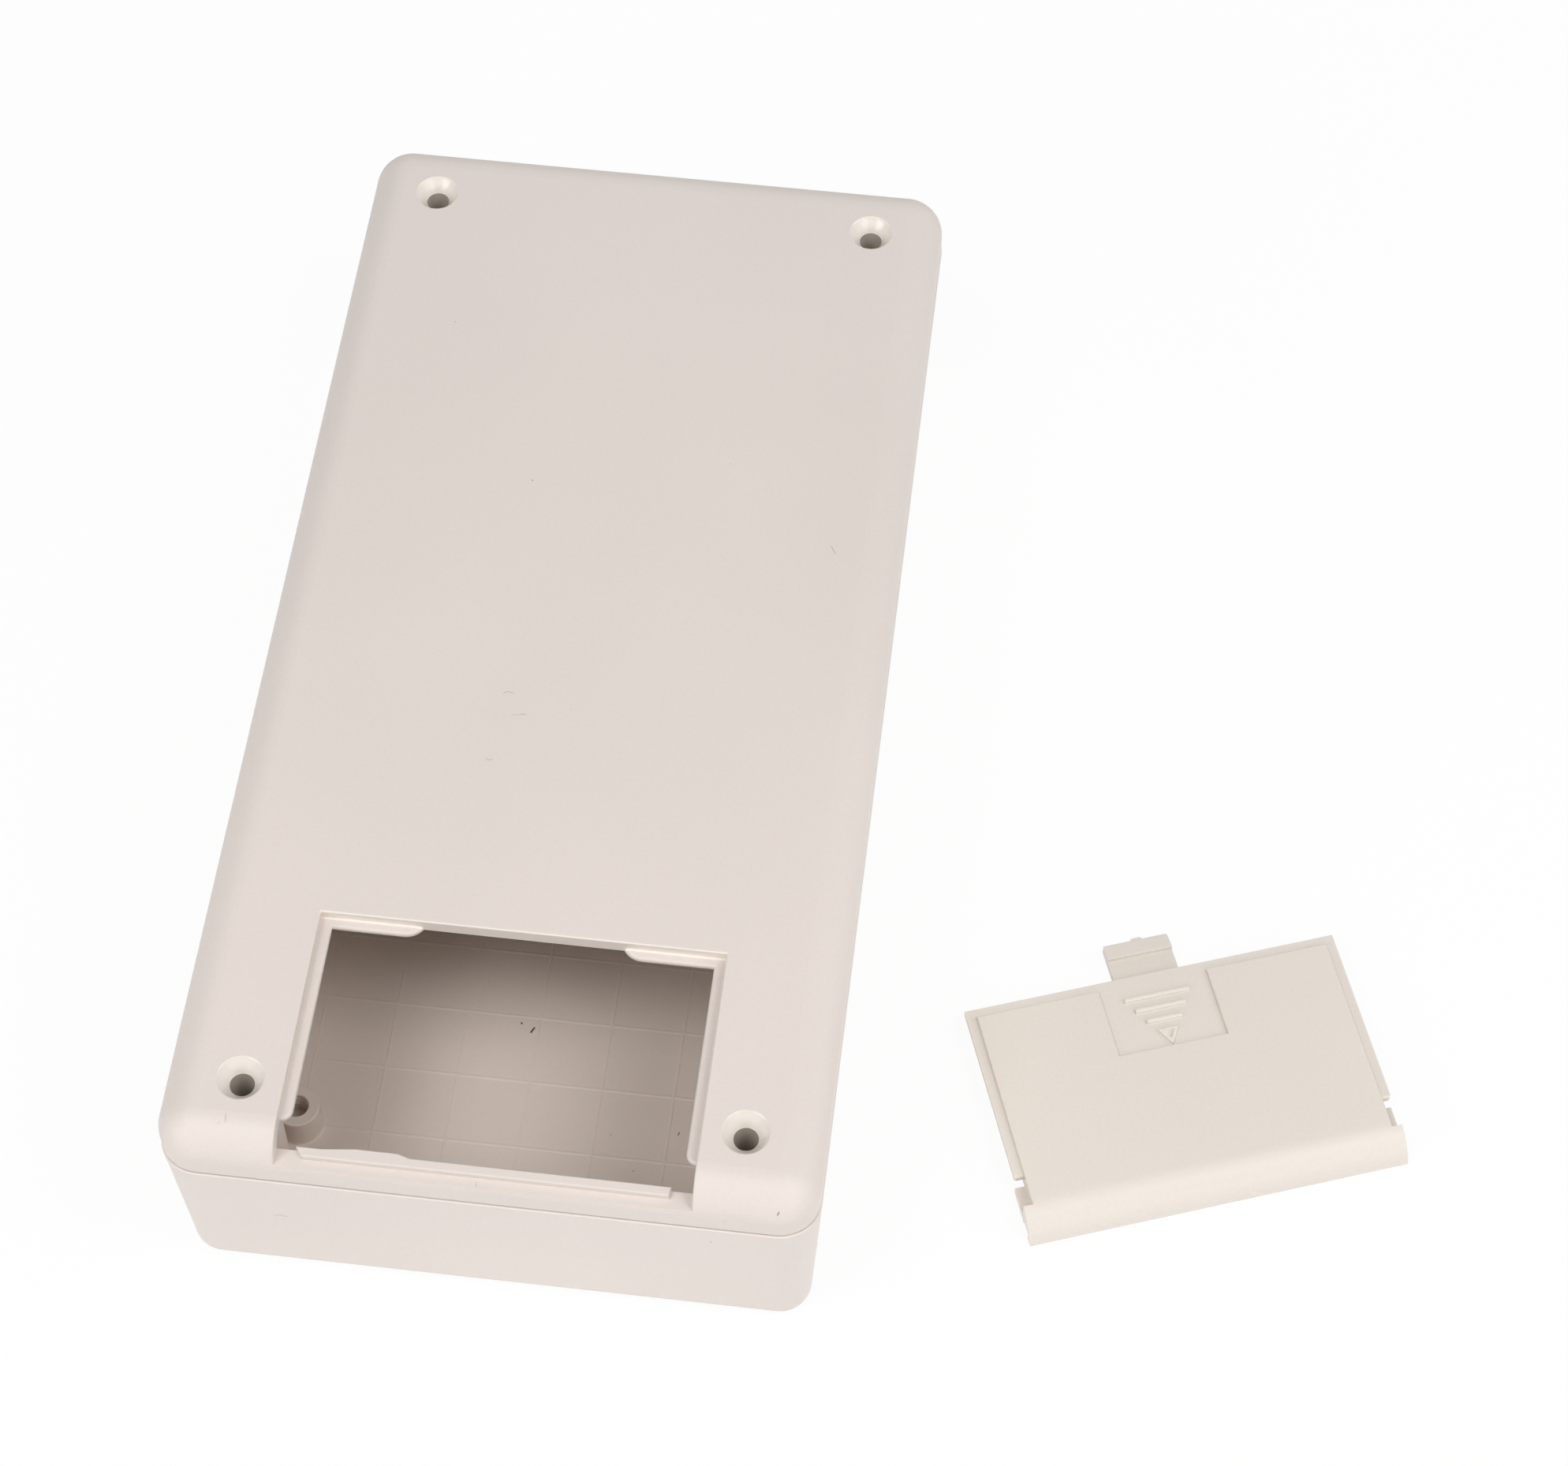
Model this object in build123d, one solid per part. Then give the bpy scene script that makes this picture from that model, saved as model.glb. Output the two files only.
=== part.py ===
from build123d import *
import math
import os

# Handheld two-shell enclosure lying on its front face, with its battery cover loose beside it.
# Frame: millimetres, origin in the middle of the front face, +Z up through the rear cover,
# +Y away from the battery opening.

# Shared outline of both shells
half_width = 42.62
half_length = 84.4
corner_r = 5.4
side_wall = 2.4
cavity_corner_r = corner_r - side_wall
split_z = 27.75            # middle of the visible groove between the shells
groove = 0.4
past = 1.0                 # how far a cutting tool reaches past the surface it opens
bury = 0.5                 # how far a raised detail starts inside its carrier
snug = 1e-3                # tolerance when edges are picked by place

# Rear cover
cover_h = 8.3
cover_top = split_z + cover_h
cover_round_r = 5.2
cover_edge_r = 0.15        # round of the lower edge, along the groove
plate_t = 2.1
end_wall = 2.45
cover_cavity_r = 3.0

# Front shell
draft_deg = 2.8
shell_proud = 0.12         # the front shell stands this far outside the rear cover
shell_round_r = 3.2
floor_z = 2.1
shell_cavity_r = 1.6
edge_r = 0.2

# Overlap of the shells: a tongue on the front shell in a rebate of the rear cover
tongue_t = 1.1
tongue_h = 1.4
lap_clearance = 0.15

# Screw posts
screw_from_side = 10.22
screw_from_end = 10.0
screw_x = half_width - screw_from_side
screw_y = half_length - screw_from_end
post_r = 3.9
post_meet_drop = 0.75      # the posts of the two shells meet this far below the split
post_meet_z = split_z - post_meet_drop
bore_r = 1.63
sink_rim_r = 2.93
sink_land = 0.25           # short straight land above the countersink cone
sink_depth = 1.95
sink_edge = 0.22           # chamfer of the countersink's rim
bore_edge = 0.1            # chamfer between the cone and the bore
pilot_r = 1.25
pilot_depth = 14.0
post_foot_r = 0.8

# Drilling grid and board bosses on the floor of the front shell
grid_pitch = 10.0
grid_from_side = 12.62     # least distance from the outline to the first crossings
grid_from_near = 11.0
grid_from_far = 7.8
grid_pitches_x = 2 * math.floor((half_width - grid_from_side) / grid_pitch + snug)
grid_pitches_y = math.floor((2 * half_length - grid_from_near - grid_from_far) / grid_pitch + snug)
grid_shift = -0.4          # the grid and its bosses sit this far from the middle plane
grid_first_x = grid_shift - grid_pitches_x * grid_pitch / 2
grid_first_y = -half_length + grid_from_near
grid_w = 0.5               # width of a grid line at the floor
grid_top_w = 0.2           # width along its top
grid_h = 0.08
grid_end = 2.5             # length of a grid line past the last crossing
board_pitches_near = 1     # grid pitches from the first row to the near pair of bosses
board_pitches_far = 2      # grid pitches from the far pair of bosses to the last row
board_x = grid_pitches_x * grid_pitch / 2
board_y_near = grid_first_y + board_pitches_near * grid_pitch
board_y_far = grid_first_y + (grid_pitches_y - board_pitches_far) * grid_pitch
boss_r = 3.15
boss_h = 5.4
boss_top = floor_z + boss_h
boss_hole_r = 1.6
boss_hole_depth = 4.5
boss_hole_edge = 0.15
thread_pitch = 0.76        # rings that a screw cut into the wall of each board boss
thread_cut = 0.16
thread_half = 0.2
thread_turns = 4
boss_foot_r = 0.4
boss_edge_r = 0.2

# Battery opening
opening_half = 26.73
opening_len = 35.31        # from the end of the case to the far edge of the opening
opening_y = -half_length + opening_len
ledge_w = 1.52
ledge_depth = 1.45
ledge_from_end = 5.55      # from the end of the case to the end of the side ledges
ledge_end_y = -half_length + ledge_from_end
ledge_end_r = 1.45
ledge_edge_r = 0.45
inner_ledge_w = 1.38
gap_half = 13.25
swoop_len = 2.45
sill_drop = 4.05
sill_z = cover_top - sill_drop
opening_edge_r = 0.25

# Locating rib on the sill
sill_rib_end_gap = 3.0
sill_rib_half = opening_half - sill_rib_end_gap
sill_rib_slants = (0.95, 0.15)   # how much longer the left and right end are along the back
sill_rib_from_end = 1.5
sill_rib_t = 1.3
sill_rib_front_y = -half_length + sill_rib_from_end
sill_rib_back_y = sill_rib_front_y + sill_rib_t
sill_rib_h = 1.0
sill_rib_edge_r = 0.2
sill_pad_at = (2.73, 7.13, 12.53, 14.13)   # start, full width from and to, end, from rib's end
sill_pad_out = 0.5
sill_pad_t = 0.8

# Catch rib under the rear cover, behind which the latch snaps
catch_half = 6.0
catch_set_back = 0.6
catch_h = 0.45

# Battery cover: sizes from its face down, and from its far edge or its lip along
lid_side_gap = 0.09
lid_far_gap = 0.36
lid_sill_gap = 0.05
lid_rib_gap = 0.15
lid_body_gap = 0.2
face_step = 0.48
face_inset = 1.36
face_edge_r = 0.15
rim_seat_gap = 0.02
rim_t = ledge_depth - face_step - rim_seat_gap
rim_end_r = 0.4            # round of the rim's near ends, seen from above and along its top
pocket_half = 7.8
pocket_len = 11.76
bar_w = 0.62
bar_h = 0.45
bar_halves = (4.72, 3.68, 2.6)
bar_first = 3.6
bar_pitch = 1.89
bar_edge_r = 0.2
arrow_half = 1.52
arrow_top = 8.98
arrow_len = 2.6
arrow_h = 0.45
arrow_line = 0.42
arrow_floor = 0.2
arrow_edge_r = 0.12
lip_gap = 1.26             # between the end of the side ledges and the lip
skirt_t = 1.2
skirt_far = 4.0
tab_len = 3.85             # how far a tab stands out from the lip, under the ledge
tab_root = 0.8             # how far it runs on under the lip
rim_notch = 0.65           # gap along the side between the rim and a tab
tab_under_gap = 0.2
tab_t = 1.2
skirt_end_gap = 0.6
plate_gap_side = 0.75

# Latch tongue of the battery cover
latch_half = 4.68
latch_reach = 6.89
latch_drop = 2.7
latch_t = 1.2
latch_root0 = 6.3
latch_root1 = 3.8
latch_root_r = 0.5
latch_corner_r = 0.5
ridge_y = 4.14
ridge_drop = 2.12
ridge_foot = 0.15
latch_nose_drop = 2.75
latch_nose_r = 0.45
nub_x = 0.3
nub_half = 0.85
nub_reach = 0.4
nub_t = 0.5

# Places on the battery cover that follow from the sizes above
lid_far_y = opening_y - lid_far_gap
lid_foot_z = sill_z + lid_sill_gap
lip_half = opening_half - lid_side_gap
lip_y = ledge_end_y - lip_gap
face_half = lip_half - face_inset
body_half = opening_half - ledge_w - lid_body_gap
body_far_y = opening_y - inner_ledge_w - lid_body_gap
plate_gap_half = gap_half - plate_gap_side

# Where the battery cover lies
lid_turn_deg = 20.17
lid_beside = 40.28
lid_along = 57.44
lid_place_x = half_width + lid_beside
lid_place_y = -half_length + lid_along


def block(x0, x1, y0, y1, z0, z1):
    """Box between two corners."""
    return Pos((x0 + x1) / 2, (y0 + y1) / 2, (z0 + z1) / 2) * Box(x1 - x0, y1 - y0, z1 - z0)


def mirrored_block(x0, x1, y0, y1, z0, z1):
    """Box and its mirror image across the middle plane."""
    one = block(x0, x1, y0, y1, z0, z1)
    return one + mirror(one, Plane.YZ)


def rod(x, y, z0, z1, r):
    """Upright cylinder."""
    return Pos(x, y, (z0 + z1) / 2) * Cylinder(r, z1 - z0)


def four_ways(x, y_low, y_high, shift=0.0):
    """The four centres of a pattern symmetric across the middle plane, moved by shift along X."""
    return [(shift + sx, y) for y in (y_low, y_high) for sx in (-x, x)]


def edges_at(shape, z):
    """Edges that lie wholly at height z."""
    found = []
    for e in shape.edges():
        box = e.bounding_box()
        if abs(box.min.Z - z) < snug and abs(box.max.Z - z) < snug:
            found.append(e)
    return found


def rounded_tray(half_x, half_y, r, z0, z1):
    """Prism with rounded corners between two heights."""
    sketch = RectangleRounded(2 * half_x, 2 * half_y, r)
    return extrude(Pos(0, 0, z0) * sketch, z1 - z0)


def round_ended(strip, half_x, y_end, y_far, r):
    """The strip cut to half_x, its two upright corners at y_end rounded, the far ones left sharp."""
    away = y_far + math.copysign(r, y_far - y_end)
    box = strip.bounding_box()
    plan = Pos(0, (y_end + away) / 2, box.min.Z) * RectangleRounded(
        2 * half_x, abs(away - y_end), r)
    return strip & extrude(plan, box.max.Z - box.min.Z)


def cover_outside():
    """Outer form of the rear cover, closed below."""
    z0 = split_z + groove / 2
    body = rounded_tray(half_width, half_length, corner_r, z0, cover_top)
    body = fillet(edges_at(body, cover_top), cover_round_r)
    return fillet(edges_at(body, z0), cover_edge_r)


def cover_inside():
    """Cavity of the rear cover as a solid, its corners a hair wider than its upper round."""
    low = split_z - groove
    body = rounded_tray(half_width - side_wall, half_length - end_wall, cover_cavity_r + snug,
                        low, cover_top - plate_t)
    return fillet(edges_at(body, cover_top - plate_t), cover_cavity_r)


def countersink(x, y):
    """Tool for one screw hole: land, cone and bore."""
    top = cover_top
    cone_bottom = top - sink_depth
    points = [
        (0, top + past), (sink_rim_r + sink_edge, top + past), (sink_rim_r + sink_edge, top),
        (sink_rim_r, top - sink_edge), (sink_rim_r, top - sink_land),
        (bore_r + bore_edge, cone_bottom), (bore_r, cone_bottom - bore_edge),
        (bore_r, post_meet_z - past), (0, post_meet_z - past),
    ]
    profile = make_face(Plane.XZ * Polyline(*points, close=True))
    return Pos(x, y, 0) * revolve(profile, Axis.Z)


def ledge_plan(side):
    """Plan of one ledge: a strip along the side and one along the inner edge."""
    x_out = opening_half + past
    x_in = opening_half - ledge_w
    y_out = opening_y + past
    y_in = opening_y - inner_ledge_w
    swoop_start = gap_half + swoop_len
    swoop_r = (swoop_len ** 2 + inner_ledge_w ** 2) / (2 * inner_ledge_w)
    half_angle = math.asin(swoop_len / swoop_r) / 2
    swoop_mid = (swoop_start - swoop_r * math.sin(half_angle),
                 y_in + swoop_r * (1 - math.cos(half_angle)))
    end_low = (x_out, ledge_end_y)
    turn = ledge_end_r * (1 - math.sqrt(0.5))
    outline = [
        Line(end_low, (x_in + ledge_end_r, ledge_end_y)),
        ThreePointArc((x_in + ledge_end_r, ledge_end_y), (x_in + turn, ledge_end_y + turn),
                      (x_in, ledge_end_y + ledge_end_r)),
        Line((x_in, ledge_end_y + ledge_end_r), (x_in, y_in)),
        Line((x_in, y_in), (swoop_start, y_in)),
        ThreePointArc((swoop_start, y_in), swoop_mid, (gap_half, opening_y)),
        Line((gap_half, opening_y), (gap_half, y_out)),
        Line((gap_half, y_out), (x_out, y_out)),
        Line((x_out, y_out), end_low),
    ]
    plan = make_face(outline)
    return plan if side > 0 else mirror(plan, Plane.YZ)


def ledge_tool():
    """Rounded solids that stay standing when the battery opening is cut."""
    z0 = cover_top - plate_t - past
    z1 = cover_top - ledge_depth
    both = []
    for side in (-1, 1):
        ledge = extrude(Pos(0, 0, z0) * ledge_plan(side), z1 - z0)
        rim = [e for e in edges_at(ledge, z1) if e.bounding_box().max.Y < opening_y + snug]
        both.append(fillet(rim, ledge_edge_r))
    return both[0] + both[1]


def opening_cut():
    """Battery opening down to the sill, ledges left standing."""
    above = cover_top + past
    below = cover_top - plate_t - past
    beyond = -half_length - past
    opening = block(-opening_half, opening_half, ledge_end_y, opening_y, below, above)
    run_out = block(-opening_half, opening_half, beyond, ledge_end_y, sill_z, above)
    return opening + run_out - ledge_tool()


def sill_rib():
    """Locating rib on the sill with a stretch that stands out further inwards."""
    z1 = sill_z + sill_rib_h
    left, right = [slant / 2 for slant in sill_rib_slants]
    plan = [(-sill_rib_half + left, sill_rib_front_y), (sill_rib_half - right, sill_rib_front_y),
            (sill_rib_half + right, sill_rib_back_y), (-sill_rib_half - left, sill_rib_back_y)]
    rib = extrude(Pos(0, 0, sill_z) * make_face(Polyline(*plan, close=True)), sill_rib_h)
    rib = fillet(edges_at(rib, z1), sill_rib_edge_r)
    x0, x1, x2, x3 = [along - sill_rib_half for along in sill_pad_at]
    hidden_y = sill_rib_back_y - bury
    out_y = sill_rib_back_y + sill_pad_out
    outline = [(x0, hidden_y), (x3, hidden_y), (x3, sill_rib_back_y), (x2, out_y), (x1, out_y),
               (x0, sill_rib_back_y)]
    pad_z = z1 - sill_pad_t
    pad = extrude(Pos(0, 0, pad_z) * make_face(Polyline(*outline, close=True)), sill_pad_t)
    outer = [e for e in edges_at(pad, z1) if e.center().Y > sill_rib_back_y + snug]
    return rib + fillet(outer, sill_rib_edge_r)


def rear_cover():
    """Upper shell with screw bosses, battery opening, ledges and sill."""
    shell = cover_outside() - cover_inside()
    tongue_out = tongue_t + lap_clearance - side_wall
    rebate_top = split_z - groove / 2 + tongue_h + lap_clearance
    shell -= rounded_tray(half_width + tongue_out, half_length + tongue_out,
                          corner_r + tongue_out, split_z - groove, rebate_top)
    for x, y in four_ways(screw_x, -screw_y, screw_y):
        shell += rod(x, y, post_meet_z, cover_top - plate_t, post_r)
    shell -= opening_cut()
    shell = fillet(opening_top_edges(shell), opening_edge_r)
    shell += sill_rib()
    catch_z = cover_top - plate_t
    shell += block(-catch_half, catch_half, opening_y + catch_set_back,
                   lid_far_y + ridge_y - ridge_foot, catch_z - catch_h, catch_z)
    for x, y in four_ways(screw_x, -screw_y, screw_y):
        shell -= countersink(x, y)
    return shell


def opening_top_edges(shell):
    """Edges of the battery opening on the flat top of the rear cover."""
    flat_end = -half_length + cover_round_r
    picked = []
    for e in edges_at(shell, cover_top):
        box = e.bounding_box()
        if abs(box.center().X) < opening_half + snug and flat_end < box.center().Y < opening_y + snug:
            picked.append(e)
    return picked


def shell_outside():
    """Outer form of the front shell, narrower towards its face."""
    z1 = split_z - groove / 2
    down = Pos(0, 0, z1) * Rot(180, 0, 0)
    sketch = RectangleRounded(2 * (half_width + shell_proud), 2 * (half_length + shell_proud),
                              corner_r)
    body = extrude(down * sketch, z1, taper=draft_deg)
    body = fillet(edges_at(body, 0), shell_round_r)
    return fillet(edges_at(body, z1), edge_r)


def shell_inside():
    """Cavity of the front shell as a solid."""
    z1 = split_z - groove / 2
    down = Pos(0, 0, z1) * Rot(180, 0, 0)
    sketch = RectangleRounded(2 * (half_width - side_wall), 2 * (half_length - side_wall),
                              cavity_corner_r)
    body = extrude(down * sketch, z1 - floor_z, taper=draft_deg)
    body = fillet(edges_at(body, floor_z), shell_cavity_r)
    return body + rounded_tray(half_width - side_wall, half_length - side_wall, cavity_corner_r,
                               z1, z1 + tongue_h + past)


def lap_tongue():
    """Upstanding rim of the front shell that enters the rear cover."""
    z0 = split_z - groove / 2 - past
    z1 = split_z - groove / 2 + tongue_h
    return rounded_tray(half_width - side_wall + tongue_t, half_length - side_wall + tongue_t,
                        cavity_corner_r + tongue_t, z0, z1)


def screw_post(x, y):
    """Post of the front shell with a round at its foot."""
    post = rod(x, y, floor_z - bury, post_meet_z, post_r)
    return post + foot_ring(x, y, post_r, post_foot_r)


def foot_ring(x, y, r, foot_r):
    """Concave foot between the floor and an upright of radius r."""
    inside = r - bury
    under = floor_z - bury
    hollow = foot_r * (1 - math.sqrt(0.5))
    top = floor_z + foot_r
    outline = [
        Line((inside, under), (r + foot_r, under)),
        Line((r + foot_r, under), (r + foot_r, floor_z)),
        ThreePointArc((r + foot_r, floor_z), (r + hollow, floor_z + hollow), (r, top)),
        Line((r, top), (inside, top)),
        Line((inside, top), (inside, under)),
    ]
    face = make_face([Plane.XZ * e for e in outline])
    return Pos(x, y, 0) * revolve(face, Axis.Z)


def board_boss(x, y):
    """Boss that carries the circuit board."""
    boss = rod(0, 0, floor_z - bury, boss_top, boss_r)
    boss = fillet(edges_at(boss, boss_top), boss_edge_r)
    return Pos(x, y, 0) * boss + foot_ring(x, y, boss_r, boss_foot_r)


def boss_hole(x, y):
    """Hole of a board boss with the rings that a screw cut into its wall."""
    wide = boss_hole_r + boss_hole_edge
    points = [(0, boss_top + past), (wide, boss_top + past), (wide, boss_top),
              (boss_hole_r, boss_top - boss_hole_edge)]
    z = boss_top - thread_pitch
    for _ in range(thread_turns):
        points += [(boss_hole_r, z + thread_half), (boss_hole_r + thread_cut, z),
                   (boss_hole_r, z - thread_half)]
        z -= thread_pitch
    points += [(boss_hole_r, boss_top - boss_hole_depth), (0, boss_top - boss_hole_depth)]
    face = make_face(Plane.XZ * Polyline(*points, close=True))
    return Pos(x, y, 0) * revolve(face, Axis.Z)


def grid_line(length):
    """One low line with sloping sides, on the floor along +X from the origin."""
    outline = [(-grid_w / 2, -bury), (grid_w / 2, -bury), (grid_w / 2, 0), (grid_top_w / 2, grid_h),
               (-grid_top_w / 2, grid_h), (-grid_w / 2, 0)]
    section = make_face(Plane.YZ * Polyline(*outline, close=True))
    return Pos(0, 0, floor_z) * extrude(section, length)


def drilling_grid():
    """Raised lines on the floor, one every grid pitch both ways."""
    start_x, start_y = grid_first_x - grid_end, grid_first_y - grid_end
    along_x = grid_line(grid_pitches_x * grid_pitch + 2 * grid_end)
    along_y = Rot(0, 0, 90) * grid_line(grid_pitches_y * grid_pitch + 2 * grid_end)
    lines = [Pos(grid_first_x + i * grid_pitch, start_y, 0) * along_y
             for i in range(grid_pitches_x + 1)]
    lines += [Pos(start_x, grid_first_y + i * grid_pitch, 0) * along_x
              for i in range(grid_pitches_y + 1)]
    return lines


def front_shell():
    """Lower shell with floor grid, board bosses, screw posts and lap tongue."""
    shell = shell_outside() + lap_tongue() - shell_inside()
    posts = four_ways(screw_x, -screw_y, screw_y)
    bosses = four_ways(board_x, board_y_near, board_y_far, grid_shift)
    parts = drilling_grid() + [screw_post(x, y) for x, y in posts]
    parts += [board_boss(x, y) for x, y in bosses]
    shell = shell.fuse(*parts).clean()
    for x, y in posts:
        shell -= rod(x, y, post_meet_z - pilot_depth, post_meet_z + past, pilot_r)
    for x, y in bosses:
        shell -= boss_hole(x, y)
    return shell


def lid_face():
    """Raised face, lip and body of the battery cover in its fitted place."""
    outer = cover_outside()
    wall = outer - cover_inside()
    above = cover_top + past
    beyond = -half_length - past
    step_z = cover_top - face_step
    face = outer & block(-face_half, face_half, beyond, lid_far_y - face_inset, step_z, above)
    lip = wall & block(-lip_half, lip_half, beyond, lip_y, lid_foot_z, above)
    body = wall & block(-body_half, body_half, beyond, body_far_y, cover_top - plate_t, step_z)
    rib_space = block(-opening_half, opening_half, sill_rib_front_y - lid_rib_gap,
                      sill_rib_back_y + sill_pad_out + lid_rib_gap,
                      sill_z, sill_z + sill_rib_h + lid_rib_gap)
    return face + lip + body - rib_space


def lid_rim():
    """Thin rim round the face, thicker in the gap between the inner ledges."""
    step_z = cover_top - face_step
    near = lip_y + tab_len + rim_notch
    rim = block(-lip_half, lip_half, near, lid_far_y, step_z - rim_t, step_z)
    rim = fillet([e for e in edges_at(rim, step_z) if e.center().Y < near + snug], rim_end_r)
    rim = round_ended(rim, lip_half, near, lid_far_y, rim_end_r)
    return rim + block(-plate_gap_half, plate_gap_half, body_far_y - bury, lid_far_y,
                       cover_top - plate_t, step_z)


def grip_pocket():
    """Tool that opens the grip pocket in the raised face."""
    return block(-pocket_half, pocket_half, lid_far_y - pocket_len, lid_far_y + past,
                 cover_top - face_step, cover_top + past)


def grip_marks():
    """Three bars and an outlined arrow head on the pocket floor."""
    floor = cover_top - face_step
    buried = floor - rim_t / 2
    marks = []
    for i, half in enumerate(bar_halves):
        y = lid_far_y - bar_first - i * bar_pitch
        bar = block(-half, half, y - bar_w / 2, y + bar_w / 2, buried, floor + bar_h)
        marks.append(fillet(edges_at(bar, floor + bar_h), bar_edge_r))
    y_base = lid_far_y - arrow_top
    points = [(-arrow_half, y_base), (arrow_half, y_base), (0, y_base - arrow_len)]
    plan = make_face(Polyline(*points, close=True))
    inner = offset(plan, -arrow_line, kind=Kind.INTERSECTION)
    head = extrude(Pos(0, 0, buried) * plan, floor + arrow_h - buried)
    head = fillet(edges_at(head, floor + arrow_h), arrow_edge_r)
    marks.append(head - extrude(Pos(0, 0, floor + arrow_floor) * inner, arrow_h))
    return marks


def lid_underside():
    """Side skirts and the tabs that pass under the ledges."""
    skirt_end_y = -half_length + end_wall + skirt_end_gap
    inside = body_half - skirt_t / 2
    under = cover_top - plate_t
    tab_top = under - tab_under_gap
    tab_bottom = tab_top - tab_t
    skirt = mirrored_block(body_half - skirt_t, body_half, skirt_end_y, lid_far_y - skirt_far,
                           lid_foot_z, under + bury)
    tab = mirrored_block(inside, lip_half, lip_y - tab_root, lip_y + tab_len,
                         tab_bottom, tab_top)
    hanger = mirrored_block(inside, lip_half, lip_y - tab_root, lip_y,
                            tab_bottom, under + bury)
    return skirt + tab + hanger


def latch():
    """Sprung tongue with a saw-tooth ridge and a gate nub at its end."""
    top = cover_top - latch_drop
    bottom = top - latch_t
    end = lid_far_y + latch_reach
    ridge = lid_far_y + ridge_y
    ridge_top = cover_top - ridge_drop
    nose_top = cover_top - latch_nose_drop
    root_near = lid_far_y - latch_root0
    root_far = lid_far_y - latch_root1
    inside = cover_top - plate_t + bury
    outline = [(root_near, bottom), (end, bottom), (end, nose_top),
               (ridge + ridge_foot, ridge_top), (ridge, top), (root_far, top),
               (root_far, inside), (root_near, inside)]
    face = make_face(Plane.YZ.offset(-latch_half) * Polyline(*outline, close=True))
    tongue = extrude(face, 2 * latch_half)
    for y, z, r in ((end, bottom, latch_nose_r), (end, nose_top, latch_nose_r),
                    (ridge + ridge_foot, ridge_top, ridge_foot), (root_far, top, latch_root_r)):
        tongue = fillet(edge_along_x(tongue, y, z), r)
    tongue = round_ended(tongue, latch_half, end, root_near, latch_corner_r)
    middle = (bottom + nose_top) / 2
    nub = block(nub_x - nub_half, nub_x + nub_half, end - bury, end + nub_reach,
                middle - nub_t / 2, middle + nub_t / 2)
    upright = [e for e in nub.edges().filter_by(Axis.Z) if e.center().Y > end]
    return tongue + fillet(upright, nub_reach - snug)


def edge_along_x(shape, y, z):
    """The edges along X that pass through the given place."""
    return [e for e in shape.edges().filter_by(Axis.X)
            if abs(e.center().Y - y) < snug and abs(e.center().Z - z) < snug]


def battery_cover():
    """Loose battery cover: made in its fitted place, then laid beside the case."""
    lid = lid_face() + lid_rim() - grip_pocket()
    flat_end = -half_length + cover_round_r
    step_edges = [e for e in edges_at(lid, cover_top) if e.bounding_box().center().Y > flat_end]
    lid = fillet(step_edges, face_edge_r)
    for mark in grip_marks():
        lid += mark
    lid += lid_underside()
    lid += latch()
    lid = Pos(0, -lid_far_y, -lid_foot_z) * lid
    return Pos(lid_place_x, lid_place_y, 0) * Rot(0, 0, lid_turn_deg) * lid


os.makedirs("parts", exist_ok=True)
export_step(rear_cover(), "parts/rear_cover.step")
export_step(front_shell(), "parts/front_shell.step")
export_step(battery_cover(), "parts/battery_cover.step")
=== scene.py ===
"""Studio scene of a handheld two-shell enclosure with its battery cover lying beside it.

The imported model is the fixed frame. This script gives each moulded piece its finish, lays the
loose dirt that the case carries, and sets the floor, the lamps and the camera.
Places are millimetres in the part's frame until metres() turns them into scene units.
"""

import logging
import math
from dataclasses import dataclass, field
from enum import Enum
from typing import Any

import bpy
from mathutils import Matrix, Vector


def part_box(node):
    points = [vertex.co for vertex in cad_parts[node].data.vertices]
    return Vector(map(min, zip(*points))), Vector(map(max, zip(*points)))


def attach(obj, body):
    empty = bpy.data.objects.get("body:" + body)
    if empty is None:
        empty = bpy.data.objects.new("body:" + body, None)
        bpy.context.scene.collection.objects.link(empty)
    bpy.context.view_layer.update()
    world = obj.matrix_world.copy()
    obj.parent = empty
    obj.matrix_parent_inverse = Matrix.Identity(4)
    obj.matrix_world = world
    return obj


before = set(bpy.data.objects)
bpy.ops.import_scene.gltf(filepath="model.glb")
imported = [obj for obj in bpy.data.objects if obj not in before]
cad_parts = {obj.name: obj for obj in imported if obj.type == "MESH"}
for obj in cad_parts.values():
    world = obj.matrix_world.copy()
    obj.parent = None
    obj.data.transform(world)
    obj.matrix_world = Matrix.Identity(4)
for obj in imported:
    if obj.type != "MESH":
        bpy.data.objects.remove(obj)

LOG = logging.getLogger("enclosure")
BODY = "root"
MM_PER_METRE = 1000.0

Place = tuple[float, float, float]
Colour = tuple[float, float, float, float]

# Sockets of the Mix node by number: first and second input, and output, of each data type
FLOAT_A, FLOAT_B, FLOAT_OUT = 2, 3, 0
VECTOR_A, VECTOR_B, VECTOR_OUT = 4, 5, 1
COLOUR_A, COLOUR_B, COLOUR_OUT = 6, 7, 2

# Nearly all values of a noise lie between these two
NOISE_LOW, NOISE_HIGH = 0.3, 0.7
NOISE_MIDDLE = (0.5, 0.5, 0.5)

UP = (0.0, 0.0, 1.0)
PLAN_ONLY = (1.0, 1.0, 0.0)


class Node(Enum):
    """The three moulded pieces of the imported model."""

    REAR_COVER = "rear_cover"
    FRONT_SHELL = "front_shell"
    BATTERY_COVER = "battery_cover"


def metres(mm: float) -> float:
    """Returns a length in metres for one in millimetres."""
    return mm / MM_PER_METRE


def metre_point(place: Place) -> Vector:
    """Returns a point in metres for one in millimetres."""
    return Vector([metres(v) for v in place])


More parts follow.
